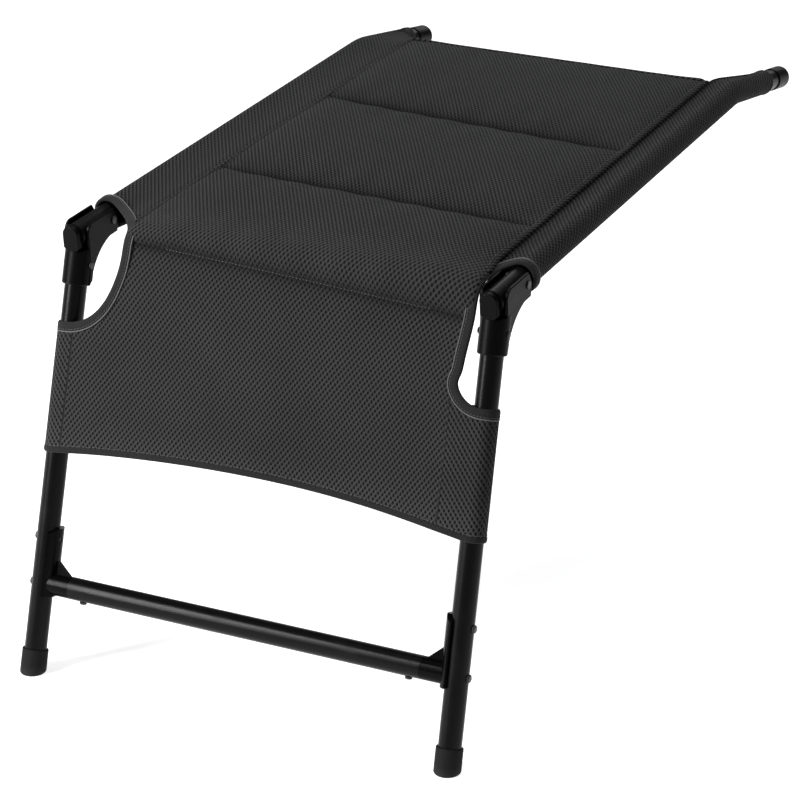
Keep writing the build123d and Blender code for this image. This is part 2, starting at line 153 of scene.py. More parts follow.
class Finishes(bpy.types.PropertyGroup):
    """Colours of the cover and the frame"""
    thread: colour("Mesh thread", "Face yarn of the spacer mesh", (0.0160, 0.0160, 0.0165))
    hole: colour("Mesh hole", "Dark openings of the spacer mesh", (0.0016, 0.0016, 0.0018))
    tape: colour("Tape", "Woven tape of bindings and hems", (0.0100, 0.0100, 0.0105))
    piping: colour("Piping", "Bright cord along the tape", (0.05, 0.05, 0.051))
    stitch: colour("Stitch", "Sewing thread", (0.028, 0.028, 0.029))
    powder_coat: colour("Powder coat", "Coating of the tubes", (0.0016, 0.0016, 0.0017))
    moulding: colour("Moulding", "Black nylon of brackets, plugs and caps", (0.0013, 0.0013, 0.0014))
    casting: colour("Casting", "Glossy corner brackets", (0.0013, 0.0013, 0.0014))
    fastener: colour("Fastener", "Blackened pins, rivets and screws", (0.03, 0.03, 0.031))
    rubber: colour("Rubber", "Foot caps", (0.005, 0.005, 0.005))
    floor: colour("Floor", "Pale floor", (0.60, 0.60, 0.60))


def tubes():
    return bpy.context.scene.leg_rest_tubes


def cover():
    return bpy.context.scene.leg_rest_cover


def finishes():
    return bpy.context.scene.leg_rest_finishes


# ---------------------------------------------------------------- lines that the cloth follows

class SideLine:
    """A line in side view, in metres of length along it, with rounded corners."""

    def __init__(self, corners, radius, step=0.0005):
        points = [np.array(corners[0], float)]
        for before, corner, after in zip(corners, corners[1:], corners[2:]):
            points += self.arc(np.array(before), np.array(corner), np.array(after), radius)
        points.append(np.array(corners[-1], float))
        dense = []
        for start, end in zip(points, points[1:]):
            count = max(1, int(np.linalg.norm(end - start) / step))
            dense += [start + (end - start) * i / count for i in range(count)]
        self.points = np.array(dense + [points[-1]])
        steps = np.linalg.norm(np.diff(self.points, axis=0), axis=1)
        self.stations = np.concatenate([[0], np.cumsum(steps)])
        tangent = np.gradient(self.points, axis=0)
        self.tangent = tangent / np.linalg.norm(tangent, axis=1)[:, None]

    @staticmethod
    def arc(before, corner, after, radius):
        """Points of the arc that rounds one corner."""
        back = (before - corner) / np.linalg.norm(before - corner)
        ahead = (after - corner) / np.linalg.norm(after - corner)
        half = np.arccos(np.clip(back @ ahead, -1, 1)) / 2
        middle = (back + ahead) / np.linalg.norm(back + ahead)
        centre = corner + middle * radius / sin(half)
        start = corner + back * radius / tan(half) - centre
        end = corner + ahead * radius / tan(half) - centre
        sweep = pi - 2 * half
        count = 40
        return [centre + (start * sin(sweep * (1 - i / count)) + end * sin(sweep * i / count)) / sin(sweep)
                for i in range(count + 1)]

    def at(self, s):
        """Points (y, z) and normals (y, z) at lengths s; the normal is on the cover's outer side."""
        y, z = (np.interp(s, self.stations, self.points[:, i]) for i in (0, 1))
        ty, tz = (np.interp(s, self.stations, self.tangent[:, i]) for i in (0, 1))
        size = np.hypot(ty, tz)
        return y, z, tz / size, -ty / size

    def station(self, point):
        """Length along the line of the place nearest to a point."""
        gaps = np.linalg.norm(self.points - np.array(point, float), axis=1)
        return float(self.stations[gaps.argmin()])


class Frame:
    """Stations on the rails and legs, as side-view points (y, z)."""

    def __init__(self):
        t = tubes()
        self.rail = np.array([cos(t.rail_slope), sin(t.rail_slope)])
        self.rail_up = np.array([-sin(t.rail_slope), cos(t.rail_slope)])
        rear_slope = t.rail_slope - t.rail_bend
        self.rear = np.array([cos(rear_slope), sin(rear_slope)])
        self.leg_up = np.array([sin(t.leg_tilt), cos(t.leg_tilt)])
        self.leg_rear = np.array([cos(t.leg_tilt), -sin(t.leg_tilt)])
        pin = np.array([HINGE.y, HINGE.z])
        self.nose = pin - self.rail * t.pin_station
        self.bend = self.nose + self.rail * t.front_length
        self.rail_end = self.bend + self.rear * t.rear_length
        over_floor = HINGE.z - FLOOR_Z
        self.leg_length = (over_floor + t.leg_offset * sin(t.leg_tilt)) / cos(t.leg_tilt)
        self.foot = pin - self.leg_up * self.leg_length - self.leg_rear * t.leg_offset

    def on_rail(self, u, v):
        return self.nose + self.rail * u + self.rail_up * v

    def on_leg(self, a, b):
        return self.foot + self.leg_up * a + self.leg_rear * b


def sleeve_radius():
    """Outer radius of the cloth round a tube."""
    return TUBE_RADIUS + cover().ease + cover().cloth


def cloth_line():
    """Outer face of the cover from its rear edge over the fold to below the hem."""
    f, r = Frame(), sleeve_radius()
    seat = np.array([f.rail, -f.leg_up]).T
    ahead, _ = np.linalg.solve(seat, f.on_leg(0, -r) - f.on_rail(0, r))
    corner = f.on_rail(ahead, r)
    past_bend, below_hem = 0.03, 0.15
    rear = f.on_rail(tubes().front_length + past_bend, r)
    return SideLine([rear, corner, f.on_leg(below_hem, -r)], cover().fold_radius)


def rail_line():
    """Top of the rail sleeves from the chair end, round the bend, to the nose."""
    f, r = Frame(), sleeve_radius()
    t = tubes()
    up = np.array([-f.rear[1], f.rear[0]])
    middle = (up + f.rail_up) / np.linalg.norm(up + f.rail_up) / cos(t.rail_bend / 2)
    return SideLine([f.rail_end + up * r, f.bend + middle * r, f.on_rail(0, r)], t.bend_radius + r)


def leg_axis_x(a):
    """Distance of a leg's axis from the middle at leg stations a."""
    return FOOT_X + (RAIL_X - FOOT_X) * a / Frame().leg_length


def quarter(x, near, far, power=2.0):
    """Quarter of an ellipse: 1 at near, 0 at far; a power under 2 flattens it towards its chord."""
    t = np.clip((x - near) / (far - near), 0, 1)
    return 1 - (1 - (1 - t) ** power) ** (1 / power)


def smooth(x, low, high):
    t = np.clip((x - low) / (high - low), 0, 1)
    return t * t * (3 - 2 * t)


# ---------------------------------------------------------------- surfaces of the cover

class Cut:
    """Where the cover's seams and edges run, in lengths along its cloth."""

    def __init__(self):
        self.frame = Frame()
        self.line = cloth_line()
        self.rails = rail_line()
        self.radius = sleeve_radius()
        self.middle = (cover().right_seam - cover().left_seam) / 2
        self.seams = {-1: cover().left_seam, 1: cover().right_seam}
        self.halfway = self.rails.station(self.frame.on_rail(STRAIGHT, self.radius))

    def from_rail(self, s):
        """Cloth length of rail length s; both lines are one on the straight part of the rail."""
        return s - self.halfway + self.seat_station(STRAIGHT)

    def rail_marks(self, side):
        """Rail lengths of a sleeve's front mouth, of the panel's rear corner and of the closed ring."""
        c = cover()
        mouth = self.rails.station(self.frame.on_rail(c.mouth_station, self.radius))
        edge = self.rails.station(self.frame.on_rail(c.rear_edge, self.radius))
        corner = edge + c.rear_skew * (side * self.seams[side] - self.middle)
        ring = c.sleeve_rear_gap + (c.left_ring if side < 0 else c.right_ring)
        return mouth, corner + c.corner_ease, ring

    def seam_end(self, side):
        """Rail station where a long seam runs into the cut-out."""
        c = cover()
        return c.mouth_station - (c.left_cutout_rise if side < 0 else c.right_cutout_rise) + 0.010

    def free_edge(self, side, s):
        """Widening of the cloth beside the hinge, where the right seam runs out to the bracket."""
        if side < 0:
            return np.zeros_like(s)
        rail_from, rail_full, leg_full, leg_end = 0.070, 0.022, 0.428, 0.362
        opening = smooth(s, self.seat_station(rail_from), self.seat_station(rail_full))
        closing = smooth(s, float(self.leg_station(leg_full)), float(self.leg_station(leg_end)))
        return cover().right_widening * opening * (1 - closing)

    def seat_station(self, u):
        return self.line.station(self.frame.on_rail(u, self.radius))

    def leg_station(self, a):
        """Length along the cloth line of leg station a; the line is straight down the legs."""
        base = self.line.station(self.frame.on_leg(STRAIGHT, -self.radius))
        return base + (STRAIGHT - np.asarray(a, float))

    def cross_seams(self, x):
        """Lengths along the cloth of the rear edge, both valleys and the fold seam, at x."""
        c = cover()
        across = x - self.middle
        rear = self.seat_station(c.rear_edge) + c.rear_skew * across
        second = self.seat_station(c.second_valley) + c.second_skew * across
        first = self.seat_station(c.first_valley) + c.first_skew * across
        fold = self.leg_station(c.fold_seam) + c.fold_skew * across
        return rear, second, first, fold

    def lifted(self, x, s, lift):
        """Points at width x and length s, lifted off the cloth line."""
        y, z, ny, nz = self.line.at(s)
        return np.stack([x, y + ny * lift, z + nz * lift], axis=-1)


def pocket_path(q, inset, radius, narrowed=1.0):
    """Section of a tube pocket: offsets across and over the tube's axis for lengths q from the seam.

    The cloth runs from the seam over the tube, round it, and straight back to the seam; narrowed
    shrinks the distance from the seam to the tube.
    """
    full = pi + 2 * asin(radius / np.hypot(inset, radius))
    back = np.arcsin(radius / np.hypot(inset * narrowed, radius))
    turned = np.clip((q - inset) / radius / full, 0, 1)
    angle = turned * (pi + 2 * back)
    flap = np.maximum(q - inset - radius * full, 0) * narrowed
    x = np.minimum(q - inset, 0) * narrowed + radius * np.sin(angle) - flap * np.cos(2 * back)
    up = radius * np.cos(angle) + flap * np.sin(2 * back)
    return x, up


def pocket_length(inset, radius):
    """Length of cloth that a tube pocket takes, from the seam round the tube and back."""
    return 2 * inset + radius * (pi + 2 * asin(radius / np.hypot(inset, radius)))


def band_surface(seat, side, q, s, inset, drop):
    """Points of a rail band at section lengths q and rail lengths s, drop under its outer face."""
    c = cover()
    mouth, corner, ring = seat.rail_marks(side)
    narrowed = smooth(s, ring, corner)
    q = np.broadcast_to(q, s.shape)
    x, up = pocket_path(q, inset, seat.radius, narrowed)
    flare = c.mouth_flare * smooth(s, mouth - c.flare_length, mouth)
    strip = q < inset
    grow = 1 + (flare - drop) / np.maximum(np.hypot(x, up), 1e-9)
    x = np.where(strip, x, x * grow)
    up = np.where(strip, up + flare * smooth(q, inset * 0.5, inset) - drop, up * grow)
    groove_start, groove_end = 0.001, 0.011
    groove = c.seam_groove * (1 - smooth(q, groove_start, groove_end)) * narrowed * strip
    over = np.clip(q / inset, 0, 1)
    sag = c.band_sag * np.sin(pi * over) * strip
    on_seat = strip & (s > seat.halfway)
    lines = zip(seat.line.at(seat.from_rail(s)), seat.rails.at(s))
    y, z, ny, nz = (np.where(on_seat, seat_value, rail_value) for seat_value, rail_value in lines)
    rise = up - seat.radius - sag - groove
    wide = seat.free_edge(side, seat.from_rail(s)) * (1 - over)
    return np.stack([side * (RAIL_X + x + wide), y + ny * rise, z + nz * rise], axis=-1)


def band_front(seat, side, q):
    """Rail lengths of a band's front edge: the cut-out's curve, the mouth and the lower flap."""
    c = cover()
    inset = RAIL_X - seat.seams[side]
    total = pocket_length(inset, seat.radius)
    mouth = seat.rail_marks(side)[0]
    rise, power = (c.left_cutout_rise, 1.25) if side < 0 else (c.right_cutout_rise, 1.6)
    curve = rise * quarter(q, 0, inset - 0.004, power)
    return mouth + curve - c.flap_setback * smooth(q, total - inset, total)


def apron_top(seat, q):
    """Leg stations of the apron's upper edge: the fold seam, then the cut-outs and sleeve tops."""
    c = cover()
    fold = seat.leg_station(0.0) - seat.cross_seams(q)[3]
    edges = {}
    for side, seam, start, end in ((-1, c.left_seam, c.left_cutout_top, c.left_sleeve_top),
                                   (1, c.right_seam, c.right_cutout_top, c.right_sleeve_top)):
        curve = end + (start - end) * quarter(np.abs(q), seam, FOOT_X)
        edges[side] = np.where(np.abs(q) <= seam, fold + 0.0015, curve)
    return np.where(q < 0, edges[-1], edges[1])


def leg_pocket(q):
    """Section of the apron at cloth widths q: pocket inset, length past the pocket seam, and offsets."""
    c = cover()
    pocket = np.where(q < 0, c.left_pocket, c.right_pocket)
    past = np.abs(q) - FOOT_X + pocket
    insets = (c.left_pocket, c.right_pocket)
    sections = [pocket_path(np.maximum(past, 0), inset, sleeve_radius()) for inset in insets]
    across, up = (np.where(q < 0, left, right) for left, right in zip(*sections))
    return pocket, past, across, up


def apron_low(q):
    """Leg stations of the hem, which arches between the legs and hangs lower on the right."""
    c = cover()
    _, past, across, _ = leg_pocket(q)
    reach = np.where(past > 0, FOOT_X + across, np.abs(q))
    reach = np.minimum(reach / FOOT_X, 1)
    return c.hem_station + c.hem_arch * (1 - reach ** 2) - c.hem_skew * np.sign(q) * reach


def apron_hang(q, a):
    """Soft hollows of the cloth between the legs."""
    top, free, pitch, shift = 0.42, 0.37, 0.44, 0.03
    waves_across, waves_down = 3.1, 2.3
    inside = 1 - smooth(np.abs(q), FOOT_X - 0.06, FOOT_X - 0.008)
    below = 1 - smooth(a, free, top)
    hollow = cover().apron_hollow * np.cos(pi * (q - shift) / pitch) ** 2
    waves = np.sin(2 * pi * (q * waves_across + (top - a) * waves_down))
    drape = cover().apron_drape * waves * np.clip((top - a) / 0.2, 0, 1)
    return -(hollow - drape) * inside * below


def apron_surface(seat, q, a, drop):
    """Points of the apron at cloth widths q and leg stations a, drop under its outer face."""
    c = cover()
    q = np.broadcast_to(q, a.shape)
    pocket, past, x, up = leg_pocket(q)
    strip = past < pocket
    shrink = 1 - drop / np.maximum(np.hypot(x, up), 1e-9)
    up = np.where(strip, up - drop, up * shrink)
    x = np.where(strip, x, x * shrink)
    s = seat.leg_station(a)
    across = np.clip((q - seat.middle) / (c.left_seam + c.right_seam) * 2, -1, 1)
    fold = seat.leg_station(0.0) - seat.cross_seams(q)[3]
    dip_length, straight_from, straight_to = 0.034, 0.40, 0.33
    dip = c.valley_drop * (1 - np.abs(across) ** 8) * (1 - smooth(fold - a, 0.0, dip_length))
    rise = up - seat.radius + apron_hang(q, a) - dip
    y, z, ny, nz = seat.line.at(s)
    seam = np.where(q < 0, c.left_seam, c.right_seam)
    beside = 1 - smooth(np.abs(q), seam, FOOT_X)
    stretched = np.abs(q) * (leg_axis_x(a) - pocket) / (FOOT_X - pocket)
    between = stretched + (np.abs(q) - stretched) * smooth(a, straight_to, straight_from) * beside
    width = np.where(past < 0, between, leg_axis_x(a) + x)
    drawn = smooth(np.abs(q), seam - WIDENING_REACH, seam) * beside
    wider = np.where(q > 0, seat.free_edge(1, s), 0.0) * drawn
    return np.stack([np.where(q < 0, -1.0, 1.0) * (width + wider), y + ny * rise, z + nz * rise], axis=-1)


# ---------------------------------------------------------------- meshes

def link(mesh, name):
    piece = bpy.data.objects.new(name, mesh)
    bpy.context.scene.collection.objects.link(piece)
    for polygon in mesh.polygons:
        polygon.use_smooth = True
    return piece


def set_uv(mesh, uv):
    layer = mesh.uv_layers.new(name="cloth")
    corners = np.zeros(len(mesh.loops), int)
    mesh.loops.foreach_get("vertex_index", corners)
    layer.data.foreach_set("uv", uv[corners].astype(np.float32).ravel())


def grid_faces(rows, columns, first, closed=False):
    """Quads of a grid of vertices whose first index is given."""
    r = np.arange(rows - 1)[:, None]
    c = np.arange(columns if closed else columns - 1)[None, :]
    after = (c + 1) % columns
    a, b = first + r * columns + c, first + r * columns + after
    d, e = first + (r + 1) * columns + c, first + (r + 1) * columns + after
    return np.stack([a, b, e, d], axis=-1).reshape(-1, 4).tolist()


def shell(name, outer, inner, uv, painted_crease_shade=None):
    """Closed cloth layer between an outer and an inner grid of points; the crease mask is painted shade, stored as
    a point attribute that darkens the colour most where it is 1.
    """
    rows, columns = outer.shape[:2]
    count = rows * columns
    points = np.concatenate([outer.reshape(-1, 3), inner.reshape(-1, 3)])
    faces = grid_faces(rows, columns, 0)
    faces += [face[::-1] for face in grid_faces(rows, columns, count)]
    index = np.arange(count).reshape(rows, columns)
    rim = np.concatenate([index[0], index[1:, -1], index[-1, -2::-1], index[-2:0:-1, 0]])
    for a, b in zip(rim, np.roll(rim, -1)):
        faces.append([int(b), int(a), int(a + count), int(b + count)])
    mesh = bpy.data.meshes.new(name)
    mesh.from_pydata(points.tolist(), [], faces)
    set_uv(mesh, np.concatenate([uv.reshape(-1, 2)] * 2))
    # painted shade: the cloth material reads this attribute to darken its colour
    if painted_crease_shade is not None:
        shaded = mesh.attributes.new("painted_crease_shade", "FLOAT", "POINT")
        shaded.data.foreach_set("value", np.concatenate([painted_crease_shade.ravel()] * 2).astype(np.float32))
    tidy(mesh)
    return link(mesh, name)


def tidy(mesh):
    """Turns all faces outward."""
    work = bmesh.new()
    work.from_mesh(mesh)
    bmesh.ops.recalc_face_normals(work, faces=work.faces)
    work.to_mesh(mesh)
    work.free()


def grid_normals(points):
    """Unit normals of a grid of points."""
    normal = np.cross(np.gradient(points, axis=1), np.gradient(points, axis=0))
    return normal / np.maximum(np.linalg.norm(normal, axis=-1, keepdims=True), 1e-12)


def unit(vectors):
    return vectors / np.maximum(np.linalg.norm(vectors, axis=-1, keepdims=True), 1e-12)


def resample(points, normals, step):
    """The same path with evenly spaced points."""
    gaps = np.linalg.norm(np.diff(points, axis=0), axis=1)
    keep = np.concatenate([[True], gaps > 1e-6])
    points, normals = points[keep], normals[keep]
    along = np.concatenate([[0], np.cumsum(np.linalg.norm(np.diff(points, axis=0), axis=1))])
    even = np.linspace(0, along[-1], max(3, int(along[-1] / step) + 1))
    pick = [np.stack([np.interp(even, along, a[:, i]) for i in range(3)], axis=1) for a in (points, normals)]
    return pick[0], unit(pick[1])


def soften(values, rounds):
    """Averages each point of a path with its neighbours, keeping the ends."""
    for _ in range(rounds):
        values = np.concatenate([values[:1], (values[:-2] + 2 * values[1:-1] + values[2:]) / 4, values[-1:]])
    return values


def swept(name, points, across, normals, section):
    """Closed band with a fixed section, given as (across, up) offsets, along a path."""
    rows = [points + across * a + normals * u for a, u in section]
    rings = np.stack(rows, axis=1)
    count, size = rings.shape[:2]
    faces = grid_faces(count, size, 0, closed=True)
    faces.append(list(range(size)))
    faces.append(list(range((count - 1) * size, count * size))[::-1])
    mesh = bpy.data.meshes.new(name)
    mesh.from_pydata(rings.reshape(-1, 3).tolist(), [], faces)
    along = np.concatenate([[0], np.cumsum(np.linalg.norm(np.diff(points, axis=0), axis=1))])
    widths = np.array([a for a, _ in section])
    uv = np.stack(np.broadcast_arrays(widths[None, :], along[:, None]), axis=-1)
    set_uv(mesh, uv.reshape(-1, 2))
    tidy(mesh)
    return link(mesh, name)


def round_section(radius, sides=8, across=0.0, up=0.0, flat=1.0):
    turns = [2 * pi * i / sides for i in range(sides)]
    return [(across + radius * cos(t), up + radius * flat * sin(t)) for t in turns]


def tape_section(width, thickness):
    """Tape folded over an edge: thickness is its height over the middle of the cloth."""
    t = thickness
    return [(width, 0.75 * t), (width * 0.8, t), (width * 0.35, 1.08 * t), (0.0006, t), (-0.0007, 0.55 * t),
            (-0.0010, 0.0), (-0.0007, -0.55 * t), (0.0006, -t), (width * 0.35, -1.08 * t),
            (width * 0.8, -t), (width, -0.75 * t)]


def edge_frame(points, normals, inward):
    """Even path along a cloth edge with the direction into the cloth at each point."""
    points, normals = resample(points, normals, 0.0018)
    points, normals = soften(points, 2), unit(soften(normals, 3))
    along = unit(np.gradient(points, axis=0))
    across = unit(soften(np.cross(normals, along), 4))
    middle = len(points) // 2
    if across[middle] @ np.array(inward) < 0:
        across = -across
    return points, across, normals


def stitches(name, points, normals, pitch, radius=0.00042):
    """Row of separate thread loops, each a short flattened bead."""
    points, normals = resample(points, normals, pitch)
    along = unit(np.gradient(points, axis=0))
    across = np.cross(normals, along)
    profile = ((-0.36, 0.25), (-0.26, 0.8), (0.0, 1.0), (0.26, 0.8), (0.36, 0.25))
    sides = 6
    vertices, faces = [], []
    for p, t, a, n in zip(points[1:-1], along[1:-1], across[1:-1], normals[1:-1]):
        first = len(vertices)
        for offset, size in profile:
            centre = p + t * offset * pitch
            for i in range(sides):
                angle = 2 * pi * i / sides
                vertices.append(centre + (a * cos(angle) + n * 0.8 * sin(angle)) * radius * size)
        faces += grid_faces(len(profile), sides, first, closed=True)
        faces.append([first + i for i in range(sides)])
        faces.append([first + (len(profile) - 1) * sides + i for i in range(sides)][::-1])
    mesh = bpy.data.meshes.new(name)
    mesh.from_pydata([tuple(v) for v in vertices], [], faces)
    tidy(mesh)
    return link(mesh, name)


def attach(piece, material, body=None):
    """Paints a piece of the cover and lets it ride on one body; without a body its transform is only baked into
    its mesh.
    """
    painted(piece, bpy.data.materials[material])
    if body:
        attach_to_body(piece, body)
    else:
        f = Frame()
        start = f.on_rail(RAIL_FOLD_START, sleeve_radius())
        end = f.on_leg(LEG_FOLD_END, -sleeve_radius())
        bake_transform(piece)


# ---------------------------------------------------------------- shader maths

class Value:
    """A shader socket that Python's operators work on."""

    def __init__(self, shader, socket):
        self.shader, self.socket = shader, socket

    def work(self, operation, *others):
        settings = {"operation": operation}
        return self.shader.node("ShaderNodeMath", settings, dict(enumerate((self, *others))))

    def __add__(self, other):
        return self.work("ADD", other)

    __radd__ = __add__

    def __sub__(self, other):
        return self.work("SUBTRACT", other)

    def __rsub__(self, other):
        return self.shader.node("ShaderNodeMath", {"operation": "SUBTRACT"}, {0: other, 1: self})

    def __mul__(self, other):
        return self.work("MULTIPLY", other)

    __rmul__ = __mul__

    def cosine(self):
        return self.work("COSINE")

    def smooth(self, low, high):
        """0 below low, 1 above high and a soft step between them."""
        values = {"Value": self, "From Min": low, "From Max": high}
        return self.shader.node("ShaderNodeMapRange", {"interpolation_type": "SMOOTHSTEP"}, values)


class Shader:
    """A material whose nodes come from one method."""

    def __init__(self, name):
        self.material = bpy.data.materials.new(name)
        self.material.use_nodes = True
        self.tree = self.material.node_tree
        self.surface = self.tree.nodes["Principled BSDF"]

    def put(self, socket, value):
        if isinstance(value, Value):
            self.tree.links.new(value.socket, socket)
        else:
            socket.default_value = value

    def node(self, kind, settings, values, output=0):
        made = self.tree.nodes.new(kind)
        for key, setting in settings.items():
            setattr(made, key, setting)
        for key, value in values.items():
            self.put(made.inputs[key], value)
        return Value(self, made.outputs[output])

    def mix(self, factor, low, high):
        """Colour between two colours."""
        mixer = self.tree.nodes.new("ShaderNodeMix")
        mixer.data_type = "RGBA"
        self.put(mixer.inputs[0], factor)
        self.put(mixer.inputs[6], low)
        self.put(mixer.inputs[7], high)
        return Value(self, mixer.outputs[2])

    def cloth_axes(self):
        """Width and length on the cloth, in metres."""
        uv = self.node("ShaderNodeUVMap", {"uv_map": "cloth"}, {})
        split = self.tree.nodes.new("ShaderNodeSeparateXYZ")
        self.tree.links.new(uv.socket, split.inputs[0])
        return Value(self, split.outputs[0]), Value(self, split.outputs[1])

    def place(self):
        """Point on the object, in metres."""
        return self.node("ShaderNodeTexCoord", {}, {}, output="Object")

    def noise(self, size, detail=3.0):
        values = {"Vector": self.place(), "Scale": 1 / size, "Detail": detail}
        return self.node("ShaderNodeTexNoise", {}, values)

    def bump(self, height, distance):
        values = {"Strength": 1.0, "Distance": distance, "Height": height}
        return self.node("ShaderNodeBump", {}, values)

    def finish(self, **sockets):
        for name, value in sockets.items():
            self.put(self.surface.inputs[name.replace("_", " ")], value)
        return self.material


def rgba(values, gain=1.0):
    return (*[v * gain for v in values], 1.0)


def mesh_fabric():
    """Spacer mesh: staggered holes between slanted yarns, closing up into ribs on the seat; painted light makes
    the lower apron lighter and painted shade darkens the creases.
    """
    m = Shader("spacer_mesh")
    fold = Cut().seat_station(0.0)
    across, along = m.cloth_axes()
    rising_count, falling_count, row_count = 2 * pi * 235, 2 * pi * 190, 2 * pi * 145  # per metre
    rising = (across * rising_count - along * row_count).cosine()
    falling = (across * falling_count + along * row_count).cosine()
    lattice = (rising + falling) * 0.5
    rib = rising * 0.5 + 0.5
    slant = 0.5 - falling * 0.5
    apron = along.smooth(fold - 0.10, fold + 0.02)
    # painted light: the lower apron is made lighter, standing in for the light it catches towards the hem
    low = along.smooth(fold + 0.17, fold + 0.24)
    hole = lattice.smooth(0.0, 0.62)
    groove = rib.smooth(0.30, 0.90)
    dark = hole * (0.25 + 0.75 * apron) + groove * (1 - apron) * 0.95
    worn = m.noise(0.05, 4.0)
    fuzz = m.noise(0.0007, 2.0)
    # yarn lightness: random wear and fuzz, the slant of the yarns, and the painted light towards the hem
    light = (worn - 0.5) * 0.4 + (fuzz - 0.5) * 0.35 + slant * (0.30 + 0.20 * apron) + 0.30 + low * 0.55
    f = finishes()
    yarn = m.mix(light, rgba(f.thread, 0.45), rgba(f.thread, 1.9))
    # painted shade: the crease attribute darkens the colour beside the cross seams and under the fold
    crease_shade_factor = m.node("ShaderNodeAttribute", {"attribute_name": "painted_crease_shade"}, {}, output="Fac")
    shade = m.mix(1 - (1 - dark.smooth(0.0, 1.0)) * (1 - crease_shade_factor * 0.8), yarn, rgba(f.hole))
    height = 1 - dark + slant * 0.35 + fuzz * 0.15
    return m.finish(Base_Color=shade, Roughness=0.9, Specular_IOR_Level=0.10, Sheen_Weight=0.03,
                    Sheen_Roughness=0.5, Normal=m.bump(height, 0.0009))


def tape_fabric():
    """Woven tape with fine cross ribs."""
    m = Shader("woven_tape")
    across, along = m.cloth_axes()
    rib = (along * (2 * pi / 0.0014)).cosine() * 0.5 + 0.5
    lengthwise = (across * (2 * pi / 0.0011)).cosine() * 0.5 + 0.5
    worn = m.noise(0.012)
    light = rib * 0.25 + lengthwise * 0.2 + worn * 0.5
    f = finishes()
    shade = m.mix(light, rgba(f.tape, 0.6), rgba(f.tape, 1.4))
    return m.finish(Base_Color=shade, Roughness=0.85, Specular_IOR_Level=0.12, Sheen_Weight=0.04,
                    Normal=m.bump(rib + lengthwise * 0.6, 0.0002))


def thread(name, tone):
    """Twisted sewing thread or piping cord."""
    m = Shader(name)
    twist = m.noise(0.0008, 2.0)
    return m.finish(Base_Color=m.mix(twist, rgba(tone, 0.7), rgba(tone, 1.3)), Roughness=0.6,
                    Normal=m.bump(twist, 0.0002))


def powder_coat():
    """Satin powder coat: fine orange peel, soft scuffs and a little dust."""
    m = Shader("satin_powder_coat")
    peel = m.noise(0.0016, 2.0)
    scuff = m.noise(0.03, 5.0).smooth(0.52, 0.78)
    f = finishes()
    shade = m.mix(scuff * 0.35, rgba(f.powder_coat), rgba(f.powder_coat, 2.6))
    return m.finish(Base_Color=shade, Roughness=0.27 + scuff * 0.12 + peel * 0.04, Specular_IOR_Level=0.10,
                    Normal=m.bump(peel, 0.00008))


def moulded(name, tone, rough, grain, depth):
    """Moulded black plastic with a spark-eroded grain and rubbed patches."""
    m = Shader(name)
    grit = m.noise(grain, 3.0)
    rubbed = m.noise(0.018, 4.0).smooth(0.5, 0.75)
    shade = m.mix(rubbed * 0.4, rgba(tone), rgba(tone, 2.4))
    return m.finish(Base_Color=shade, Roughness=rough + (grit - 0.5) * 0.12 - rubbed * 0.06,
                    Specular_IOR_Level=0.05, Normal=m.bump(grit, depth))


def blackened_steel():
    m = Shader("blackened_steel")
    brushed = m.noise(0.0012, 4.0)
    f = finishes()
    shade = m.mix(brushed, rgba(f.fastener, 0.6), rgba(f.fastener, 1.6))
    return m.finish(Base_Color=shade, Metallic=0.6, Specular_IOR_Level=0.25, Roughness=0.28 + brushed * 0.15,
                    Normal=m.bump(brushed, 0.00005))


def foot_rubber():
    """Matt rubber, a little dusty near the floor."""
    m = Shader("foot_rubber")
    split = m.node("ShaderNodeSeparateXYZ", {}, {0: m.place()}, output="Z")
    dust = (1 - (split - FLOOR_Z).smooth(0.0, 0.012)) * m.noise(0.004, 4.0)
    f = finishes()
    grit = m.noise(0.0009, 3.0)
    shade = m.mix(dust * 0.6, rgba(f.rubber), rgba(f.rubber, 7.0))
    return m.finish(Base_Color=shade, Roughness=0.62 + grit * 0.15, Specular_IOR_Level=0.12,
                    Normal=m.bump(grit, 0.00012))


def painted(piece, material):
    piece.data.materials.clear()
    piece.data.materials.append(material)
    return piece


# ---------------------------------------------------------------- operators

class LEGREST_OT_frame_finish(bpy.types.Operator):
    """Gives each tube, bracket, plug, cap and fastener its finish"""
    bl_idname = "leg_rest.frame_finish"
    bl_label = "Frame Finish"

    def execute(self, context):
        f = finishes()
        moulding = moulded("moulded_nylon", f.moulding, 0.36, 0.0011, 0.00006)
        made = {
            "coated_tube": powder_coat(),
            "moulded_black": moulding,
            "cast_black": moulded("glossy_casting", f.casting, 0.24, 0.004, 0.00010),
            "blackened_steel": blackened_steel(),
            "foot_rubber": foot_rubber(),
        }
        for part in frame["record"]["subparts"]:
            if part["material_slot"] in made:
                painted(frame["nodes"][part["node"]], made[part["material_slot"]])
        return {"FINISHED"}


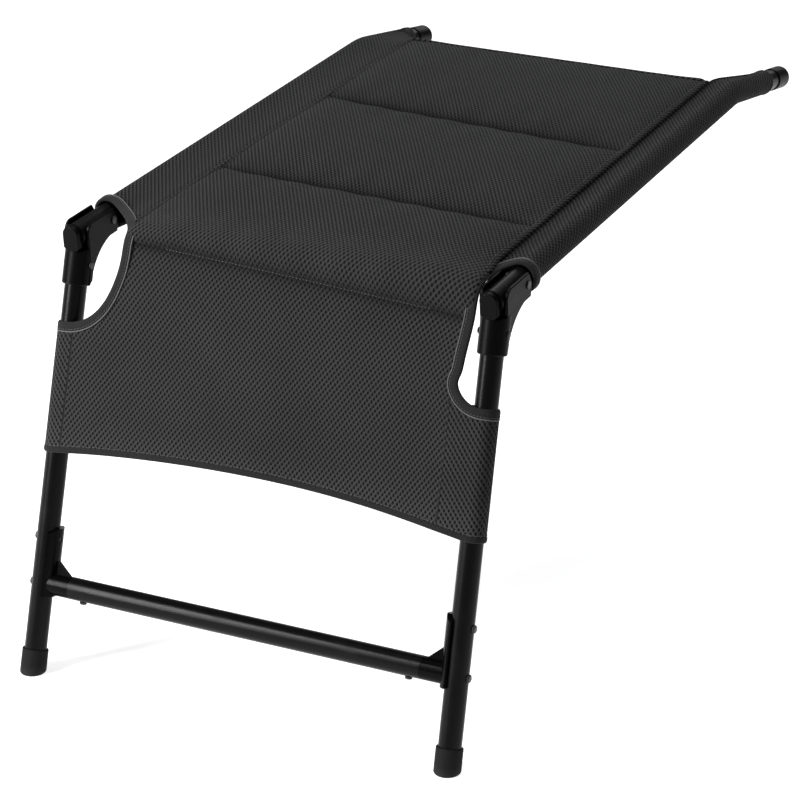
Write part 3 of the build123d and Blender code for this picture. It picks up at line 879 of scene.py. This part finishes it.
class LEGREST_OT_padded_panel(bpy.types.Operator):
    """Sews the padded top panel, from the rear edge over the fold to the apron"""
    bl_idname = "leg_rest.padded_panel"
    bl_label = "Padded Panel"

    rows = (62, 58, 74)
    columns = 130
    ripple_height = 0.0018
    ripple_turn, ripple_slant = 138, 9
    crown_power, side_power = 0.42, 0.55
    lining = 0.0012
    # reaches of the painted shade on each side of a cross seam
    crease_shade_reaches = (0.0055, 0.018)

    def execute(self, context):
        seat = Cut()
        c = cover()
        x = np.linspace(-c.left_seam, c.right_seam, self.columns)
        seams = seat.cross_seams(x)
        from_middle = (x - seat.middle) / (c.left_seam + c.right_seam) * 2
        edge = 1 - np.abs(from_middle) ** 9
        between = 1 - np.abs(from_middle[None, :]) ** 8
        drawn = smooth(x, c.right_seam - WIDENING_REACH, c.right_seam)[None, :]
        tops, bottoms, stations, painted_crease_shades = [], [], [], []
        for number, (start, end, rows) in enumerate(zip(seams, seams[1:], self.rows)):
            t = np.linspace(0, 1, rows)[:-1] if number < 2 else np.linspace(0, 1, rows)
            t = 0.5 - 0.5 * np.cos(pi * t) if number < 2 else t
            s = start[None, :] + (end - start)[None, :] * t[:, None]
            filled = (4 * t * (1 - t))[:, None] ** self.crown_power * edge[None, :] ** self.side_power
            sewn = (1 - filled) * between
            pinch = c.valley_drop * sewn
            ripples = np.sin(self.ripple_turn * x[None, :] + self.ripple_slant * s)
            ripples *= self.ripple_height * sewn * filled
            if number == 0:
                pinch = pinch * (0.45 + 0.55 * smooth(t, 0.0, 0.4))[:, None]
            wide = x + seat.free_edge(1, s) * drawn
            tops.append(seat.lifted(wide, s, c.pad_rise * filled - pinch + ripples))
            bottoms.append(seat.lifted(wide, s, -c.cloth - self.lining - pinch - c.pad_depth * filled))
            stations.append(np.stack([np.broadcast_to(x, s.shape), s], axis=-1))
            # painted shade beside the cross seams: a tight and a wide fall-off from each seam, faded out towards
            # the long seams
            gap = np.minimum(s - start if number else np.full_like(s, 1.0), end - s)
            tight, wide_spread = (np.exp(-(gap / reach) ** 2) for reach in self.crease_shade_reaches)
            painted_crease_shades.append((0.7 * tight + 0.3 * wide_spread) * between)
        top, bottom, uv, painted_crease_shade = (np.concatenate(parts) for parts in (tops, bottoms, stations, painted_crease_shades))
        panel = shell("padded_panel", top, bottom, uv, painted_crease_shade)
        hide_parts("seat_pad_front", "seat_pad_middle", "seat_pad_rear", "rear_hem")
        attach(panel, "spacer_mesh")
        normals = -grid_normals(top)
        self.sew_valleys(seat, x, seams)
        self.sew_rear_edge(top, normals)
        self.sew_long_seams(top, normals)
        return {"FINISHED"}

    def sew_valleys(self, seat, x, seams):
        c = cover()
        inner = slice(3, -3)
        for name, s in zip(("rear_valley", "front_valley", "fold_valley"), seams[1:]):
            row = seat.lifted(x[inner], s[inner], -c.valley_drop + 0.0004)
            _, _, ny, nz = seat.line.at(s[inner])
            normal = np.stack([np.zeros_like(ny), ny, nz], axis=-1)
            made = stitches(f"{name}_stitches", row, normal, c.stitch_pitch)
            attach(made, "sewing_thread")

    def sew_rear_edge(self, top, normals):
        c = cover()
        middle = top[0] - normals[0] * c.cloth
        points, across, up = edge_frame(middle, normals[0], (0, -1, 0))
        hem = swept("rear_edge_binding", points, across, up, tape_section(c.hem_width, 0.0017))
        attach(hem, "spacer_mesh", "rails")

    def sew_long_seams(self, top, normals):
        c, seat = cover(), Cut()
        for (name, side), column in zip(SIDES, (0, -1)):
            points, across, up = edge_frame(top[:, column], normals[:, column], (-side, 0, 0))
            ahead = seat.frame.on_rail(seat.seam_end(side), seat.radius)
            sewn = (points[:, 1:] - ahead) @ seat.frame.rail > 0
            points, across, up = points[sewn], across[sewn], up[sewn]
            section = round_section(0.0026, 12, 0.0014, 0.0001, 0.7)
            attach(swept(f"{name}_seam_welt", points, across, up, section), "spacer_mesh")
            line = points + across * 0.0052 + up * 0.0004
            attach(stitches(f"{name}_seam_stitches", line, up, c.stitch_pitch), "sewing_thread")


class LEGREST_OT_rail_bands(bpy.types.Operator):
    """Sews a side band with its rail sleeve to each long seam"""
    bl_idname = "leg_rest.rail_bands"
    bl_label = "Rail Bands"

    rows = 260
    columns = 84

    def execute(self, context):
        for name, side in SIDES:
            self.band(name, side)
        return {"FINISHED"}

    def band(self, name, side):
        seat = Cut()
        c = cover()
        inset = RAIL_X - seat.seams[side]
        total = pocket_length(inset, seat.radius)
        q = np.linspace(0, total, self.columns)
        front = band_front(seat, side, q)
        inner = np.cos(2 * pi * np.clip((q - inset) / (total - 2 * inset), 0, 1)) * 0.5 + 0.5
        rear = c.sleeve_rear_gap - (c.left_tail if side < 0 else c.right_tail) * inner
        t = np.linspace(0, 1, self.rows)[:, None]
        s = rear[None, :] + (front - rear)[None, :] * t
        outer, inner = (band_surface(seat, side, q, s, inset, drop) for drop in (0.0, c.cloth))
        uv = np.stack([np.broadcast_to(side * (seat.seams[side] + q), s.shape), seat.from_rail(s)], axis=-1)
        piece = shell(f"{name}_rail_band", outer, inner, uv)
        area = float(np.trapz(front - rear, q))
        float(front.max() - rear.min())
        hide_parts(f"{name}_rail_sleeve")
        attach(piece, "spacer_mesh")
        self.sew_ring(name, seat, side, q, rear, inset)

    def sew_ring(self, name, seat, side, q, rear, inset):
        """Tape round the rear mouth of a rail sleeve."""
        c = cover()
        points = band_surface(seat, side, q, rear[None, :], inset, c.cloth / 2)[0]
        over = band_surface(seat, side, q, rear[None, :], inset, 0.0)[0]
        edge, across, up = edge_frame(points, unit(over - points), (0, -1, 0))
        tape = swept(f"{name}_rear_mouth_binding", edge, across, up, tape_section(c.hem_width, 0.0014))
        attach(tape, "woven_tape", "rails")


class LEGREST_OT_apron(bpy.types.Operator):
    """Hangs the apron between the legs and sews its leg sleeves and hem"""
    bl_idname = "leg_rest.apron"
    bl_label = "Apron"

    rows = 96
    columns = 330

    def execute(self, context):
        seat = Cut()
        c = cover()
        wraps = {-1: pocket_length(c.left_pocket, seat.radius) - c.left_pocket,
                 1: pocket_length(c.right_pocket, seat.radius) - c.right_pocket}
        q = np.linspace(-FOOT_X - wraps[-1], FOOT_X + wraps[1], self.columns)
        top, low = apron_top(seat, q), apron_low(q)
        t = np.linspace(0, 1, self.rows)[:, None]
        a = top[None, :] + (low - top)[None, :] * t
        outer, inner = (apron_surface(seat, q, a, drop) for drop in (0.0, c.cloth))
        pocket = np.where(q < 0, FOOT_X - c.left_pocket, FOOT_X - c.right_pocket)
        turned = np.where(np.abs(q) > pocket, -q, q)
        uv = np.stack([np.broadcast_to(turned, a.shape), seat.leg_station(a)], axis=-1)
        # painted shade just under the fold seam, between the long seams, kept in the crease attribute
        below = (top[None, :] - a) / 0.007
        inside = (q > -c.left_seam) & (q < c.right_seam)
        apron = shell("apron_cloth", outer, inner, uv, np.exp(-below ** 2) * inside)
        float(top.max() - low.min())
        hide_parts("apron", "apron_hem", "left_leg_sleeve", "right_leg_sleeve")
        attach(apron, "spacer_mesh")
        self.sew_hem(seat, q, low)
        return {"FINISHED"}

    def sew_hem(self, seat, q, low):
        c = cover()
        middle = apron_surface(seat, q, low[None, :], c.cloth / 2)[0]
        over = apron_surface(seat, q, low[None, :], 0.0)[0]
        points, across, up = edge_frame(middle, unit(over - middle), (0, 0, 1))
        hem = swept("hem_binding", points, across, up, tape_section(c.hem_width, 0.0015))
        attach(hem, "woven_tape", "leg_frame")
        row = stitches("hem_stitches", points + across * 0.0062 + up * 0.0010, up, c.stitch_pitch)
        attach(row, "sewing_thread", "leg_frame")


class LEGREST_OT_cutouts(bpy.types.Operator):
    """Binds the half-moon cut-outs with tape, piping and stitching"""
    bl_idname = "leg_rest.cutouts"
    bl_label = "Cut-outs"

    def execute(self, context):
        for name, side in SIDES:
            self.bind(name, side)
        return {"FINISHED"}

    def bind(self, name, side):
        seat = Cut()
        c = cover()
        half = c.cloth / 2
        inset = RAIL_X - seat.seams[side]
        total = pocket_length(inset, seat.radius)
        q = np.linspace(total - inset * 0.3, 0, 150)
        s = band_front(seat, side, q)
        ring = [band_surface(seat, side, q, s, inset, drop) for drop in (half, 0.0)]
        start = float(seat.from_rail(s[-1]))
        seam = side * seat.seams[side]
        turn_top = c.left_cutout_top if side < 0 else c.right_cutout_top
        end = float(seat.leg_station(turn_top))
        s = np.linspace(start, end, 60)[1:-1]
        x = seam + side * seat.free_edge(side, s)
        edge = [seat.lifted(x, s, -drop) for drop in (half, 0.0)]
        pocket = c.left_pocket if side < 0 else c.right_pocket
        wrap = pocket_length(pocket, seat.radius) - pocket * 1.3
        q = side * np.linspace(seat.seams[side] + 0.0002, FOOT_X + wrap, 150)
        a = apron_top(seat, q)
        leg = [apron_surface(seat, q, a, drop) for drop in (half, 0.0)]
        middle, over = (np.concatenate(parts) for parts in zip(ring, edge, leg))
        points, normals = resample(middle, unit(over - middle), 0.0018)
        points = soften(points, 10)
        points, across, up = edge_frame(points, unit(soften(normals, 8)), (-side, 0, 0))
        tape = swept(f"{name}_cutout_binding", points, across, up, tape_section(c.binding_width, 0.0019))
        attach(tape, "woven_tape")
        cord = swept(f"{name}_cutout_piping", points, across, up,
                     round_section(0.0007, 8, c.binding_width, 0.0016))
        attach(cord, "piping_cord")
        line = points + across * (c.binding_width - 0.0022) + up * 0.0021
        row = stitches(f"{name}_cutout_stitches", line, up, c.stitch_pitch * 0.9, 0.00035)
        attach(row, "sewing_thread")


class LEGREST_OT_cover_finish(bpy.types.Operator):
    """Makes the materials that the cover's pieces share"""
    bl_idname = "leg_rest.cover_finish"
    bl_label = "Cover Finish"

    def execute(self, context):
        f = finishes()
        mesh_fabric()
        tape_fabric()
        thread("sewing_thread", f.stitch)
        thread("piping_cord", f.piping)
        return {"FINISHED"}


class LEGREST_OT_stage(bpy.types.Operator):
    """Sets out the pale floor, the soft lights and the camera"""
    bl_idname = "leg_rest.stage"
    bl_label = "Stage"

    def execute(self, context):
        self.floor()
        self.lights()
        self.camera()
        return {"FINISHED"}

    def floor(self):
        reach = 14.0
        mesh = bpy.data.meshes.new("pale_floor")
        corners = [(reach * x, reach * y, FLOOR_Z) for x, y in ((-1, -1), (1, -1), (1, 1), (-1, 1))]
        mesh.from_pydata(corners, [], [(0, 1, 2, 3)])
        floor = bpy.data.objects.new("pale_floor", mesh)
        bpy.context.scene.collection.objects.link(floor)
        m = Shader("pale_floor")
        tone = finishes().floor
        mottle = m.noise(0.4)
        painted(floor, m.finish(Base_Color=m.mix(mottle, rgba(tone), rgba(tone, 1.03)), Roughness=0.9,
                                Specular_IOR_Level=0.1, Emission_Color=(1, 1, 1, 1), Emission_Strength=0.78))

    def area_light(self, name, place, aim, size, power):
        data = bpy.data.lights.new(name, "AREA")
        data.shape = "RECTANGLE"
        data.size, data.size_y = size
        data.energy = power
        light = bpy.data.objects.new(name, data)
        bpy.context.scene.collection.objects.link(light)
        light.location = place
        light.rotation_euler = (Vector(aim) - Vector(place)).to_track_quat("-Z", "Y").to_euler()

    def lights(self):
        world = bpy.data.worlds.new("soft_room")
        world.use_nodes = True
        background = world.node_tree.nodes["Background"]
        background.inputs["Color"].default_value = (0.95, 0.97, 1.0, 1.0)
        background.inputs["Strength"].default_value = 0.14
        bpy.context.scene.world = world
        middle = (0.0, -0.4, -0.15)
        self.area_light("overhead_softbox", (0.1, -0.2, 2.6), middle, (1.6, 0.9), 60.0)
        self.area_light("left_strip", (-1.35, -2.3, 0.9), middle, (0.5, 1.9), 110.0)
        self.area_light("rear_softbox", (-0.6, 2.6, 1.4), middle, (2.0, 1.2), 14.0)
        bpy.context.scene.view_settings.view_transform = "Standard"

    def camera(self):
        """Long lens from the right front, a little above the seat."""
        foot = Frame().foot
        azimuth, elevation, distance = radians(27.08), radians(20.6), 2.40305
        beside_middle, above_foot = 0.17952, 0.35895
        back = Vector((sin(azimuth) * cos(elevation), -cos(azimuth) * cos(elevation), sin(elevation)))
        aim = Vector((beside_middle, foot[0], foot[1] + above_foot))
        data = bpy.data.cameras.new("camera")
        camera = bpy.data.objects.new("camera", data)
        bpy.context.scene.collection.objects.link(camera)
        camera.location = aim + back * distance
        camera.rotation_mode = "QUATERNION"
        camera.rotation_quaternion = (-back).to_track_quat("-Z", "Y")
        data.sensor_width = 36.0
        data.lens = 123.56
        data.shift_x, data.shift_y = -0.00106, -0.00469
        bpy.context.scene.camera = camera


STEPS = (LEGREST_OT_cover_finish, LEGREST_OT_frame_finish, LEGREST_OT_padded_panel, LEGREST_OT_rail_bands,
         LEGREST_OT_apron, LEGREST_OT_cutouts, LEGREST_OT_stage)


class LEGREST_PT_panel(bpy.types.Panel):
    """Lists the sewing steps and sizes of the leg rest"""
    bl_idname = "LEGREST_PT_panel"
    bl_label = "Padded Leg Rest"
    bl_space_type = "VIEW_3D"
    bl_region_type = "UI"
    bl_category = "Leg Rest"

    def draw(self, context):
        for step in STEPS:
            self.layout.operator(step.bl_idname)
        for group in (tubes(), cover(), finishes()):
            box = self.layout.box()
            for name in group.__annotations__:
                box.prop(group, name)


GROUPS = (("leg_rest_tubes", TubeLines), ("leg_rest_cover", CoverSizes), ("leg_rest_finishes", Finishes))


def register():
    for name, group in GROUPS:
        bpy.utils.register_class(group)
        setattr(bpy.types.Scene, name, bpy.props.PointerProperty(type=group))
    for item in (*STEPS, LEGREST_PT_panel):
        bpy.utils.register_class(item)


def unregister():
    for item in reversed((*STEPS, LEGREST_PT_panel)):
        bpy.utils.unregister_class(item)
    for name, group in reversed(GROUPS):
        delattr(bpy.types.Scene, name)
        bpy.utils.unregister_class(group)


def main():
    register()
    for step in STEPS:
        family, name = step.bl_idname.split(".")
        getattr(getattr(bpy.ops, family), name)()


if __name__ == "__main__":
    main()
